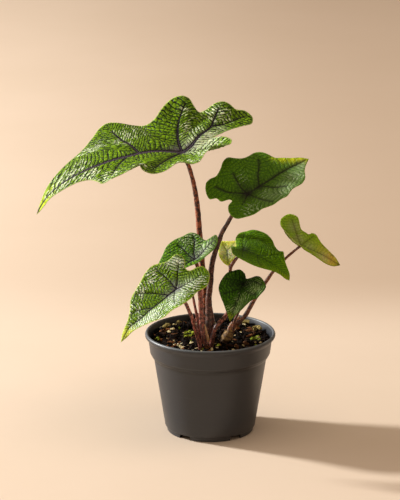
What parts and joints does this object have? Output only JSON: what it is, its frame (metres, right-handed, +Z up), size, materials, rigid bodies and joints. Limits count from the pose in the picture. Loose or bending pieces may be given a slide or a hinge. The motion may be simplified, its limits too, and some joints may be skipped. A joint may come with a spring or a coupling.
{
  "type": "potted jacklyn alocasia",
  "caption": "Young alocasia with lobed arrow-shaped leaves on slender mottled stems, rooted in bark soil in a round tapered plastic nursery pot.",
  "frame": {"origin": "on the pot's axis, at the flat underside of its round centre foot, level with the surface that the pot stands on", "axes": "+Z up along the pot's axis; the front of the plant, as pictured, faces -Y; +X is to the right of someone facing it"},
  "size_m": [0.2738, 0.1896, 0.2942],
  "materials": {
    "pot": "satin dark grey plastic",
    "soil": "loose dark bark and peat mix",
    "corm": "rough brown skin",
    "dry_sheath": "dry papery",
    "petiole_red": "reddish brown with dark bands, satin",
    "petiole_dark": "very dark purple brown, satin",
    "petiole_mauve": "pinkish brown, satin",
    "petiole_brown": "warm brown, satin",
    "blade_large_front": "glossy bright green with dark veins",
    "blade_upper_right": "satin dark green with dark veins",
    "blade_middle_left": "satin green with dark veins",
    "blade_lower_left": "glossy light green with dark veins",
    "blade_middle_right": "satin green",
    "blade_lower_right": "satin very dark green",
    "blade_far_right": "satin olive green",
    "blade_small_pale": "satin pale yellow green",
    "blade_small_hidden": "satin light green"
  },
  "bodies": {
    "root": {"pot": "pot", "soil": "soil", "corm": "corm", "dry_sheath_crown": "dry_sheath", "dry_sheath_corm_left": "dry_sheath", "dry_sheath_corm_back": "dry_sheath", "petiole_large_front": "petiole_red", "petiole_upper_right": "petiole_dark", "petiole_middle_left": "petiole_mauve", "petiole_lower_left": "petiole_mauve", "petiole_middle_right": "petiole_mauve", "petiole_lower_right": "petiole_brown", "petiole_far_right": "petiole_brown", "petiole_small_pale": "petiole_brown", "petiole_small_hidden": "petiole_mauve", "blade_large_front": "blade_large_front", "blade_upper_right": "blade_upper_right", "blade_middle_left": "blade_middle_left", "blade_lower_left": "blade_lower_left", "blade_middle_right": "blade_middle_right", "blade_lower_right": "blade_lower_right", "blade_far_right": "blade_far_right", "blade_small_pale": "blade_small_pale", "blade_small_hidden": "blade_small_hidden"}
  },
  "joints": []
}
